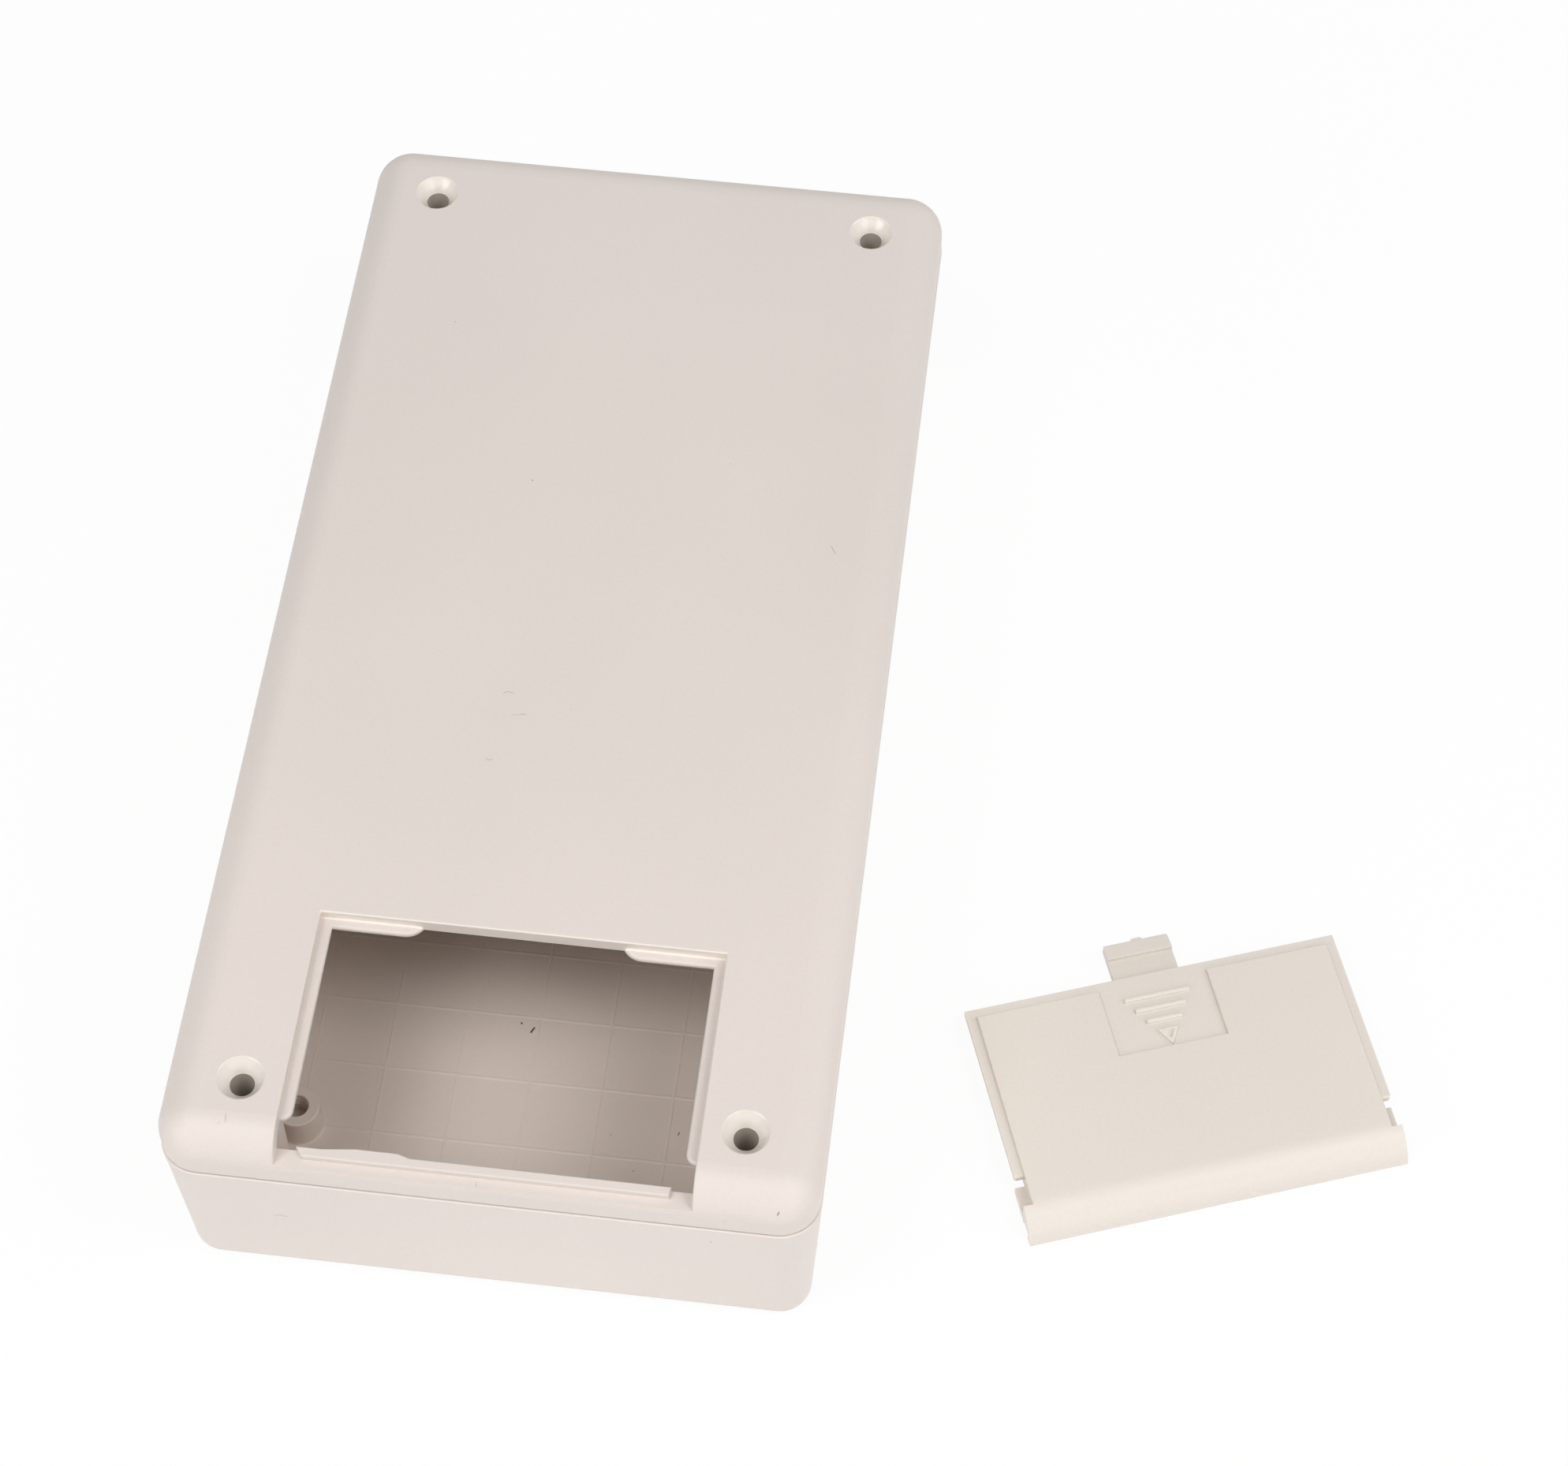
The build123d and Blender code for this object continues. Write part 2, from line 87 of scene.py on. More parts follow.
def linear(hex_colour: str, gain: float = 1.0) -> Colour:
    """Turns an sRGB hex colour into a linear one.

    Args:
        hex_colour: Six hex digits, with or without a leading hash.
        gain: Factor on the linear values, for a lighter or darker shade of the same hue.

    Returns:
        Red, green, blue and an alpha of one.
    """
    digits = hex_colour.lstrip("#")
    shares = [int(digits[i:i + 2], 16) / 255 for i in (0, 2, 4)]
    r, g, b = [c / 12.92 if c <= 0.04045 else ((c + 0.055) / 1.055) ** 2.4 for c in shares]
    return (r * gain, g * gain, b * gain, 1.0)


def add_node(
    tree: bpy.types.NodeTree,
    kind: str,
    settings: dict[str, Any] | None = None,
    inputs: dict[str | int, Any] | None = None,
) -> bpy.types.Node:
    """Adds a node, sets it up and feeds its inputs.

    Args:
        tree: The tree that the node goes into.
        kind: Blender's name of the node type.
        settings: Properties of the node by name.
        inputs: Sockets by name or number, each with a value or with the socket that feeds it.

    Returns:
        The new node.
    """
    node = tree.nodes.new(kind)
    for name, value in (settings or {}).items():
        setattr(node, name, value)
    for key, value in (inputs or {}).items():
        if isinstance(value, bpy.types.NodeSocket):
            tree.links.new(value, node.inputs[key])
        else:
            node.inputs[key].default_value = value
    return node


def new_material(name: str) -> bpy.types.Material:
    """Makes a material with an empty node tree.

    Args:
        name: The material's name.

    Returns:
        The new material.
    """
    material = bpy.data.materials.new(name)
    material.use_nodes = True
    material.node_tree.nodes.clear()
    return material


def link_object(name: str, data: bpy.types.ID) -> bpy.types.Object:
    """Makes an object and puts it in the scene.

    Args:
        name: The object's name.
        data: The mesh, lamp or camera that it holds.

    Returns:
        The new object.
    """
    thing = bpy.data.objects.new(name, data)
    bpy.context.scene.collection.objects.link(thing)
    return thing


def open_sockets(tree: bpy.types.NodeTree, values: dict[str, float | int]) -> dict[str, str]:
    """Gives a Geometry Nodes tree its geometry sockets and one input for each named value.

    Args:
        tree: The tree.
        values: The inputs' names, each with the value that it is to get.

    Returns:
        The identifier of each named input.
    """
    tree.interface.new_socket("Geometry", in_out="INPUT", socket_type="NodeSocketGeometry")
    named = {}
    for name, value in values.items():
        kind = "NodeSocketInt" if isinstance(value, int) else "NodeSocketFloat"
        socket = tree.interface.new_socket(name, in_out="INPUT", socket_type=kind)
        named[name] = socket.identifier
    tree.interface.new_socket("Geometry", in_out="OUTPUT", socket_type="NodeSocketGeometry")
    return named


def attach_tree(piece: bpy.types.Object, tree: bpy.types.NodeTree, named: dict[str, str],
                values: dict[str, float | int]) -> None:
    """Puts a Geometry Nodes tree on an object and sets its inputs.

    Args:
        piece: The object.
        tree: The finished tree.
        named: The identifier of each named input.
        values: The value of each named input.
    """
    modifier = piece.modifiers.new(tree.name, "NODES")
    modifier.node_group = tree
    for name, value in values.items():
        modifier[named[name]] = value


def settle_mesh(source: bpy.types.Object) -> None:
    """Turns what an object's modifiers generate into its own plain mesh, without modifiers.

    Args:
        source: An object with a Geometry Nodes modifier.
    """
    graph = bpy.context.evaluated_depsgraph_get()
    made = bpy.data.meshes.new_from_object(source.evaluated_get(graph))
    made.name = source.name
    source.modifiers.clear()
    source.data = made


@dataclass(frozen=True)
class SmoothDiscWithPaintedLight:
    """Smoother round places in each quarter of the plan, with painted light and shade."""

    x_mm: float
    y_mm: float
    radius_mm: float
    colour: str
    roughness: float

    def share(self, tree: bpy.types.NodeTree,
              place: bpy.types.NodeSocket) -> bpy.types.NodeSocket:
        """Adds the test whether a place lies in one of the round places.

        Args:
            tree: The finish's node tree.
            place: The socket of the place, in metres.

        Returns:
            A socket that is one inside them and zero elsewhere.
        """
        folded = add_node(tree, "ShaderNodeVectorMath", {"operation": "ABSOLUTE"}, {0: place})
        apart = add_node(tree, "ShaderNodeVectorMath", {"operation": "SUBTRACT"},
                         {0: folded.outputs["Vector"],
                          1: (metres(self.x_mm), metres(self.y_mm), 0.0)})
        flat = add_node(tree, "ShaderNodeVectorMath", {"operation": "MULTIPLY"},
                        {0: apart.outputs["Vector"], 1: PLAN_ONLY})
        away = add_node(tree, "ShaderNodeVectorMath", {"operation": "LENGTH"},
                        {0: flat.outputs["Vector"]})
        return add_node(tree, "ShaderNodeMath", {"operation": "LESS_THAN"},
                        {0: away.outputs["Value"], 1: metres(self.radius_mm)}).outputs["Value"]


def inside_box(tree: bpy.types.NodeTree, place: bpy.types.NodeSocket, centre_mm: Place,
               half_mm: Place, turn_deg: float = 0.0) -> bpy.types.NodeSocket:
    """Adds the test whether a place lies in a box that is turned in plan.

    Args:
        tree: The tree that the nodes go into.
        place: The socket of the place, in metres.
        centre_mm: Centre of the box.
        half_mm: Half of its size along its own axes.
        turn_deg: Its turn about the vertical.

    Returns:
        A socket that is one inside the box and zero elsewhere.
    """
    own = add_node(tree, "ShaderNodeMapping", {"vector_type": "TEXTURE"},
                   {"Vector": place, "Location": metre_point(centre_mm),
                    "Rotation": (0.0, 0.0, math.radians(turn_deg)),
                    "Scale": metre_point(half_mm)})
    folded = add_node(tree, "ShaderNodeVectorMath", {"operation": "ABSOLUTE"},
                      {0: own.outputs["Vector"]})
    sides = add_node(tree, "ShaderNodeSeparateXYZ",
                     inputs={"Vector": folded.outputs["Vector"]}).outputs
    plan = add_node(tree, "ShaderNodeMath", {"operation": "MAXIMUM"},
                    {0: sides["X"], 1: sides["Y"]})
    reach = add_node(tree, "ShaderNodeMath", {"operation": "MAXIMUM"},
                     {0: plan.outputs["Value"], 1: sides["Z"]})
    return add_node(tree, "ShaderNodeMath", {"operation": "LESS_THAN"},
                    {0: reach.outputs["Value"], 1: 1.0}).outputs["Value"]


@dataclass(frozen=True)
class Patch:
    """A box, turned in plan, with another gloss and colour; in some boxes the colour is painted
    light.
    """

    centre_mm: Place
    half_mm: Place
    colour: str
    roughness: float
    turn_deg: float = 0.0

    def share(self, tree: bpy.types.NodeTree,
              place: bpy.types.NodeSocket) -> bpy.types.NodeSocket:
        """Returns one inside the box and zero elsewhere."""
        return inside_box(tree, place, self.centre_mm, self.half_mm, self.turn_deg)


@dataclass(frozen=True)
class PaintedFarShade:
    """Painted shade: the pigment darkens along +Y, as the light falls off towards the far end."""

    from_mm: float
    to_mm: float
    colour: str
    roughness: float

    def share(self, tree: bpy.types.NodeTree,
              place: bpy.types.NodeSocket) -> bpy.types.NodeSocket:
        """Adds the ramp between the two places.

        Args:
            tree: The finish's node tree.
            place: The socket of the place, in metres.

        Returns:
            A socket that grows from zero to one between them.
        """
        sides = add_node(tree, "ShaderNodeSeparateXYZ", inputs={"Vector": place})
        return add_node(
            tree, "ShaderNodeMapRange",
            inputs={"Value": sides.outputs["Y"], "From Min": metres(self.from_mm),
                    "From Max": metres(self.to_mm)}).outputs["Result"]


@dataclass(frozen=True)
class SoftRelief:
    """A box whose low raised lines run softly into the face that they stand on.

    Their slopes are shaded flatter by the softness: zero leaves them, one makes them flat.
    """

    centre_mm: Place
    half_mm: Place
    softness: float

    def share(self, tree: bpy.types.NodeTree,
              place: bpy.types.NodeSocket) -> bpy.types.NodeSocket:
        """Adds the test for the box, scaled by the softness.

        Args:
            tree: The finish's node tree.
            place: The socket of the place, in metres.

        Returns:
            A socket that is the softness inside the box and zero elsewhere.
        """
        inside = inside_box(tree, place, self.centre_mm, self.half_mm)
        return add_node(tree, "ShaderNodeMath", {"operation": "MULTIPLY"},
                        {0: inside, 1: self.softness}).outputs["Value"]


@dataclass(frozen=True)
class MouldedAbs:
    """Injection-moulded ABS from a spark-eroded tool.

    The eye gets a warm light grey with a soft, broad sheen. A fine grain breaks the sheen up, and
    slow waves in the wall make it drift a little over large faces.
    """

    name: str
    colour: str
    roughness: float = 0.5
    ior: float = 1.53
    grain_mm: float = 0.32
    grain_depth_mm: float = 0.006
    wave_mm: float = 26.0
    wave_depth_mm: float = 0.02
    drift_mm: float = 48.0
    drift: float = 0.018
    fleck_mm: float = 0.5
    fleck: float = 0.012
    handling_mm: float = 24.0
    roughness_drift: float = 0.05
    soft_relief: SoftRelief | None = None
    # Zones of another colour and gloss; some of them hold painted light and shade
    zones: tuple[PaintedFarShade | Patch | SmoothDiscWithPaintedLight, ...] = ()

    def material(self) -> bpy.types.Material:
        """Builds the finish.

        Returns:
            The finish as a material.
        """
        made = new_material(self.name)
        tree = made.node_tree
        place = add_node(tree, "ShaderNodeTexCoord").outputs["Object"]
        colour = self._colour(tree, place)
        normal = self._relief(tree, place)
        gloss = self._gloss(tree, place)
        surface = add_node(
            tree, "ShaderNodeBsdfPrincipled",
            inputs={"Base Color": colour, "Roughness": gloss, "Normal": normal, "IOR": self.ior})
        add_node(tree, "ShaderNodeOutputMaterial", inputs={"Surface": surface.outputs["BSDF"]})
        return made

    def _colour(self, tree: bpy.types.NodeTree,
                place: bpy.types.NodeSocket) -> bpy.types.NodeSocket:
        """Adds each zone's colour, some with painted light and shade, then the drift and the
        flecks.

        Args:
            tree: The finish's node tree.
            place: The socket of the place, in metres.

        Returns:
            The socket of the colour.
        """
        pigment = add_node(tree, "ShaderNodeRGB")
        pigment.outputs[0].default_value = linear(self.colour)
        tint = pigment.outputs[0]
        for zone in self.zones:
            tint = add_node(tree, "ShaderNodeMix", {"data_type": "RGBA"},
                            {"Factor": zone.share(tree, place), COLOUR_A: tint,
                             COLOUR_B: linear(zone.colour)}).outputs[COLOUR_OUT]
        clouds = add_node(tree, "ShaderNodeTexNoise",
                          inputs={"Vector": place, "Scale": 1 / metres(self.drift_mm)})
        flecks = add_node(tree, "ShaderNodeTexNoise",
                          inputs={"Vector": place, "Scale": 1 / metres(self.fleck_mm),
                                  "Detail": 1.0})
        for noise, reach in ((clouds, self.drift), (flecks, self.fleck)):
            shade = add_node(
                tree, "ShaderNodeMapRange",
                inputs={"Value": noise.outputs["Fac"], "From Min": NOISE_LOW,
                        "From Max": NOISE_HIGH, "To Min": 1 - reach, "To Max": 1 + reach})
            tint = add_node(tree, "ShaderNodeVectorMath", {"operation": "SCALE"},
                            {0: tint, "Scale": shade.outputs["Result"]}).outputs["Vector"]
        return tint

    def _relief(self, tree: bpy.types.NodeTree,
                place: bpy.types.NodeSocket) -> bpy.types.NodeSocket:
        """Adds the softened relief, the slow waves and the spark-eroded grain.

        Args:
            tree: The finish's node tree.
            place: The socket of the place, in metres.

        Returns:
            The socket of the shading normal.
        """
        swell = add_node(tree, "ShaderNodeTexNoise",
                         inputs={"Vector": place, "Scale": 1 / metres(self.wave_mm),
                                 "Detail": 1.0})
        waves = add_node(
            tree, "ShaderNodeBump",
            inputs={"Strength": 1.0, "Distance": metres(self.wave_depth_mm),
                    "Height": swell.outputs["Fac"]})
        if self.soft_relief:
            facing = add_node(tree, "ShaderNodeNewGeometry").outputs["Normal"]
            eased = add_node(tree, "ShaderNodeMix", {"data_type": "VECTOR"},
                             {"Factor": self.soft_relief.share(tree, place),
                              VECTOR_A: facing, VECTOR_B: UP})
            unit = add_node(tree, "ShaderNodeVectorMath", {"operation": "NORMALIZE"},
                            {0: eased.outputs[VECTOR_OUT]})
            tree.links.new(unit.outputs["Vector"], waves.inputs["Normal"])
        pits = add_node(tree, "ShaderNodeTexNoise",
                        inputs={"Vector": place, "Scale": 1 / metres(self.grain_mm)})
        grain = add_node(
            tree, "ShaderNodeBump",
            inputs={"Strength": 1.0, "Distance": metres(self.grain_depth_mm),
                    "Height": pits.outputs["Fac"], "Normal": waves.outputs["Normal"]})
        return grain.outputs["Normal"]

    def _gloss(self, tree: bpy.types.NodeTree,
               place: bpy.types.NodeSocket) -> bpy.types.NodeSocket:
        """Adds the roughness of every zone with the slow drift of the moulding's own.

        Args:
            tree: The finish's node tree.
            place: The socket of the place, in metres.

        Returns:
            The socket of the roughness.
        """
        handled = add_node(tree, "ShaderNodeTexNoise",
                           inputs={"Vector": place, "Scale": 1 / metres(self.handling_mm),
                                   "Detail": 3.0})
        gloss = add_node(
            tree, "ShaderNodeMapRange",
            inputs={"Value": handled.outputs["Fac"],
                    "To Min": self.roughness - self.roughness_drift,
                    "To Max": self.roughness + self.roughness_drift}).outputs["Result"]
        for zone in self.zones:
            gloss = add_node(tree, "ShaderNodeMix",
                             inputs={"Factor": zone.share(tree, place), FLOAT_A: gloss,
                                     FLOAT_B: zone.roughness}).outputs[FLOAT_OUT]
        return gloss


@dataclass(frozen=True)
class DullDirt:
    """Loose dirt off a workbench: spun lint, torn dust and cut shavings.

    The eye gets a dull speck whose shade wanders along it, with hardly any sheen.
    """

    name: str
    light: str
    dark: str
    change_mm: float = 0.6
    roughness: float = 0.9
    specular: float = 0.2

    def material(self) -> bpy.types.Material:
        """Builds the finish.

        Returns:
            The finish as a material.
        """
        made = new_material(self.name)
        tree = made.node_tree
        place = add_node(tree, "ShaderNodeTexCoord").outputs["Object"]
        along = add_node(tree, "ShaderNodeTexNoise",
                         inputs={"Vector": place, "Scale": 1 / metres(self.change_mm)})
        tint = add_node(
            tree, "ShaderNodeMix", {"data_type": "RGBA"},
            {"Factor": along.outputs["Fac"], COLOUR_A: linear(self.light),
             COLOUR_B: linear(self.dark)})
        surface = add_node(
            tree, "ShaderNodeBsdfPrincipled",
            inputs={"Base Color": tint.outputs[COLOUR_OUT], "Roughness": self.roughness,
                    "Specular IOR Level": self.specular})
        add_node(tree, "ShaderNodeOutputMaterial", inputs={"Surface": surface.outputs["BSDF"]})
        return made


@dataclass(frozen=True)
class PaperSweep:
    """Matt white background paper, coated. It reads as plain white, with the object's shadow."""

    name: str = "matt_white_background_paper"
    colour: str = "#F4F4F4"
    shown_white: float = 0.92
    fibre_mm: float = 1.4
    fibre_shade: float = 0.995

    def material(self) -> bpy.types.Material:
        """Builds the finish.

        Returns:
            The finish as a material.
        """
        made = new_material(self.name)
        tree = made.node_tree
        place = add_node(tree, "ShaderNodeTexCoord").outputs["Object"]
        fibre = add_node(tree, "ShaderNodeTexNoise",
                         inputs={"Vector": place, "Scale": 1 / metres(self.fibre_mm)})
        tint = add_node(
            tree, "ShaderNodeMix", {"data_type": "RGBA"},
            {"Factor": fibre.outputs["Fac"], COLOUR_A: linear(self.colour, self.fibre_shade),
             COLOUR_B: linear(self.colour)})
        paper = add_node(tree, "ShaderNodeBsdfDiffuse",
                         inputs={"Color": tint.outputs[COLOUR_OUT]})
        glow = add_node(tree, "ShaderNodeEmission", inputs={"Strength": 1.0})
        shown = add_node(
            tree, "ShaderNodeMixShader",
            inputs={"Fac": self.shown_white, 1: paper.outputs["BSDF"], 2: glow.outputs["Emission"]})
        seen = seen_directly(tree)
        both = add_node(
            tree, "ShaderNodeMixShader",
            inputs={"Fac": seen, 1: paper.outputs["BSDF"], 2: shown.outputs["Shader"]})
        add_node(tree, "ShaderNodeOutputMaterial", inputs={"Surface": both.outputs["Shader"]})
        return made


def seen_directly(tree: bpy.types.NodeTree) -> bpy.types.NodeSocket:
    """Adds the test whether the camera, a reflection or a transmission looks.

    Args:
        tree: The tree that the nodes go into.

    Returns:
        A socket that is one for such a ray and zero for the light that falls on things.
    """
    rays = add_node(tree, "ShaderNodeLightPath").outputs
    first = add_node(tree, "ShaderNodeMath", {"operation": "MAXIMUM"},
                     {0: rays["Is Camera Ray"], 1: rays["Is Glossy Ray"]})
    return add_node(tree, "ShaderNodeMath", {"operation": "MAXIMUM"},
                    {0: first.outputs["Value"], 1: rays["Is Transmission Ray"]}).outputs["Value"]


@dataclass
class MouldedPiece:
    """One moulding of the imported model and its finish."""

    node: Node
    finish: MouldedAbs

    def dress(self) -> None:
        """Gives every face of the node the finish."""
        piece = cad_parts[self.node.value]
        piece.data.materials.clear()
        piece.data.materials.append(self.finish.material())
        low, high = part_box(self.node.value)
        LOG.info("%s: %s, %.1f x %.1f x %.1f mm", self.node.value, self.finish.name,
                 *[MM_PER_METRE * (b - a) for a, b in zip(low, high)])


@dataclass
class Fibre:
    """One thread of lint by the points that it passes through."""

    points: list[Place]


@dataclass
class Lint:
    """Threads that lie on the case, each a fine tube along its own kinked line."""

    fibres: list[Fibre]
    finish: DullDirt
    thickness_mm: float = 0.05
    kink_mm: float = 0.08
    kink_size_mm: float = 0.5
    rise_share: float = 0.2
    steps: int = 14
    sides: int = 5
    seed: int = 7
    name: str = "lint_threads"

    def build(self) -> None:
        """Builds all threads as one piece that rides on the body."""
        points: list[Vector] = []
        edges: list[tuple[int, int]] = []
        for fibre in self.fibres:
            first = len(points)
            points += [metre_point(p) for p in fibre.points]
            edges += [(i, i + 1) for i in range(first, len(points) - 1)]
        mesh = bpy.data.meshes.new(self.name)
        mesh.from_pydata(points, edges, [])
        piece = link_object(self.name, mesh)
        self._grow(piece)
        settle_mesh(piece)
        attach(piece, BODY)
        LOG.info("%s: %d threads, %d faces", self.name, len(self.fibres), len(piece.data.polygons))

    def _grow(self, piece: bpy.types.Object) -> None:
        """Puts the tree that turns lines into kinked threads on the piece.

        Args:
            piece: An object whose mesh is the lines.
        """
        tree = bpy.data.node_groups.new("grow_threads", "GeometryNodeTree")
        values = {"Thickness": metres(self.thickness_mm), "Kink": metres(self.kink_mm),
                  "Kink Size": metres(self.kink_size_mm), "Steps": self.steps,
                  "Sides": self.sides, "Seed": self.seed}
        named = open_sockets(tree, values)
        given = add_node(tree, "NodeGroupInput").outputs
        lines = add_node(tree, "GeometryNodeMeshToCurve", inputs={"Mesh": given["Geometry"]})
        smooth = add_node(tree, "GeometryNodeCurveSplineType", {"spline_type": "CATMULL_ROM"},
                          {"Curve": lines.outputs["Curve"]})
        even = add_node(tree, "GeometryNodeResampleCurve",
                        inputs={"Curve": smooth.outputs["Curve"], "Count": given["Steps"]})
        spot = add_node(tree, "GeometryNodeInputPosition")
        pitch = add_node(tree, "ShaderNodeMath", {"operation": "DIVIDE"},
                         {0: 1.0, 1: given["Kink Size"]})
        wander = add_node(
            tree, "ShaderNodeTexNoise", {"noise_dimensions": "4D"},
            {"Vector": spot.outputs["Position"], "W": given["Seed"],
             "Scale": pitch.outputs["Value"], "Detail": 1.0})
        centred = add_node(tree, "ShaderNodeVectorMath", {"operation": "SUBTRACT"},
                           {0: wander.outputs["Color"], 1: NOISE_MIDDLE})
        push = add_node(tree, "ShaderNodeVectorMath", {"operation": "SCALE"},
                        {0: centred.outputs["Vector"], "Scale": given["Kink"]})
        flat = add_node(tree, "ShaderNodeVectorMath", {"operation": "MULTIPLY"},
                        {0: push.outputs["Vector"], 1: (1.0, 1.0, self.rise_share)})
        kinked = add_node(tree, "GeometryNodeSetPosition",
                          inputs={"Geometry": even.outputs["Curve"],
                                  "Offset": flat.outputs["Vector"]})
        radius = add_node(tree, "ShaderNodeMath", {"operation": "MULTIPLY"},
                          {0: given["Thickness"], 1: 0.5})
        ring = add_node(tree, "GeometryNodeCurvePrimitiveCircle",
                        inputs={"Resolution": given["Sides"], "Radius": radius.outputs["Value"]})
        tube = add_node(tree, "GeometryNodeCurveToMesh",
                        inputs={"Curve": kinked.outputs["Geometry"],
                                "Profile Curve": ring.outputs["Curve"], "Fill Caps": True})
        real = add_node(tree, "GeometryNodeRealizeInstances",
                        inputs={"Geometry": tube.outputs["Mesh"]})
        finished = add_node(tree, "GeometryNodeSetMaterial",
                            inputs={"Geometry": real.outputs["Geometry"],
                                    "Material": self.finish.material()})
        add_node(tree, "NodeGroupOutput", inputs={0: finished.outputs["Geometry"]})
        attach_tree(piece, tree, named, values)


@dataclass
class Crumb:
    """One crumb of dirt by its place and width."""

    place: Place
    width_mm: float


@dataclass
class Crumbs:
    """Crumbs of dirt and trimmed plastic, each a small lump that lies on its surface."""

    crumbs: list[Crumb]
    finish: DullDirt
    lump_mm: float = 0.06
    lump_size_mm: float = 0.15
    flat_share: float = 0.6
    smoothness: int = 3
    seed: int = 11
    name: str = "crumbs"

    def build(self) -> None:
        """Builds all crumbs as one piece that rides on the body."""
        mesh = bpy.data.meshes.new(self.name)
        mesh.from_pydata([metre_point(c.place) for c in self.crumbs], [], [])
        widths = mesh.attributes.new("width", "FLOAT", "POINT")
        widths.data.foreach_set("value", [metres(c.width_mm) for c in self.crumbs])
        piece = link_object(self.name, mesh)
        self._grow(piece)
        settle_mesh(piece)
        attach(piece, BODY)
        LOG.info("%s: %d crumbs, %d faces", self.name, len(self.crumbs), len(piece.data.polygons))

    def _grow(self, piece: bpy.types.Object) -> None:
        """Puts the tree that sets a lump on each point on the piece.

        Args:
            piece: An object whose mesh is the points.
        """
        tree = bpy.data.node_groups.new("set_lumps", "GeometryNodeTree")
        values = {"Lump": metres(self.lump_mm), "Lump Size": metres(self.lump_size_mm),
                  "Flatness": self.flat_share, "Seed": self.seed}
        named = open_sockets(tree, values)
        given = add_node(tree, "NodeGroupInput").outputs
        ball = add_node(tree, "GeometryNodeMeshIcoSphere",
                        inputs={"Radius": 0.5, "Subdivisions": self.smoothness})
        width = add_node(tree, "GeometryNodeInputNamedAttribute", {"data_type": "FLOAT"},
                         {"Name": "width"})
        turn = add_node(tree, "FunctionNodeRandomValue", {"data_type": "FLOAT_VECTOR"},
                        {"Min": (0.0, 0.0, 0.0), "Max": (0.0, 0.0, math.tau),
                         "Seed": given["Seed"]})
        height = add_node(tree, "ShaderNodeMath", {"operation": "MULTIPLY"},
                          {0: width.outputs["Attribute"], 1: given["Flatness"]})
        size = add_node(tree, "ShaderNodeCombineXYZ",
                        inputs={"X": width.outputs["Attribute"], "Y": height.outputs["Value"],
                                "Z": height.outputs["Value"]})
        set_down = add_node(
            tree, "GeometryNodeInstanceOnPoints",
            inputs={"Points": given["Geometry"], "Instance": ball.outputs["Mesh"],
                    "Rotation": turn.outputs["Value"], "Scale": size.outputs["Vector"]})
        real = add_node(tree, "GeometryNodeRealizeInstances",
                        inputs={"Geometry": set_down.outputs["Instances"]})
        spot = add_node(tree, "GeometryNodeInputPosition")
        pitch = add_node(tree, "ShaderNodeMath", {"operation": "DIVIDE"},
                         {0: 1.0, 1: given["Lump Size"]})
        wander = add_node(tree, "ShaderNodeTexNoise", {"noise_dimensions": "4D"},
                          {"Vector": spot.outputs["Position"], "W": given["Seed"],
                           "Scale": pitch.outputs["Value"], "Detail": 2.0})
        centred = add_node(tree, "ShaderNodeVectorMath", {"operation": "SUBTRACT"},
                           {0: wander.outputs["Color"], 1: NOISE_MIDDLE})
        push = add_node(tree, "ShaderNodeVectorMath", {"operation": "SCALE"},
                        {0: centred.outputs["Vector"], "Scale": given["Lump"]})
        lumpy = add_node(tree, "GeometryNodeSetPosition",
                         inputs={"Geometry": real.outputs["Geometry"],
                                 "Offset": push.outputs["Vector"]})
        finished = add_node(tree, "GeometryNodeSetMaterial",
                            inputs={"Geometry": lumpy.outputs["Geometry"],
                                    "Material": self.finish.material()})
        add_node(tree, "NodeGroupOutput", inputs={0: finished.outputs["Geometry"]})
        attach_tree(piece, tree, named, values)


@dataclass(frozen=True)
class Softbox:
    """A studio lamp with a large soft face, on a stand round the object.

    The azimuth is zero in front of the object's near end and grows to the right.
    """

    name: str
    azimuth_deg: float
    elevation_deg: float
    width_mm: float
    height_mm: float
    watts: float
    distance_mm: float = 1200.0
    aim: Place = (30.0, 0.0, 20.0)

    def hang(self) -> None:
        """Hangs the lamp in its place, turned to its aim."""
        light = bpy.data.lights.new(self.name, "AREA")
        light.shape = "RECTANGLE"
        light.size, light.size_y = metres(self.width_mm), metres(self.height_mm)
        light.energy = self.watts
        azimuth, elevation = math.radians(self.azimuth_deg), math.radians(self.elevation_deg)
        outward = Vector((math.sin(azimuth) * math.cos(elevation),
                          -math.cos(azimuth) * math.cos(elevation), math.sin(elevation)))
        lamp = link_object(self.name, light)
        lamp.location = metre_point(self.aim) + metres(self.distance_mm) * outward
        lamp.rotation_euler = (-outward).to_track_quat("-Z", "Y").to_euler()


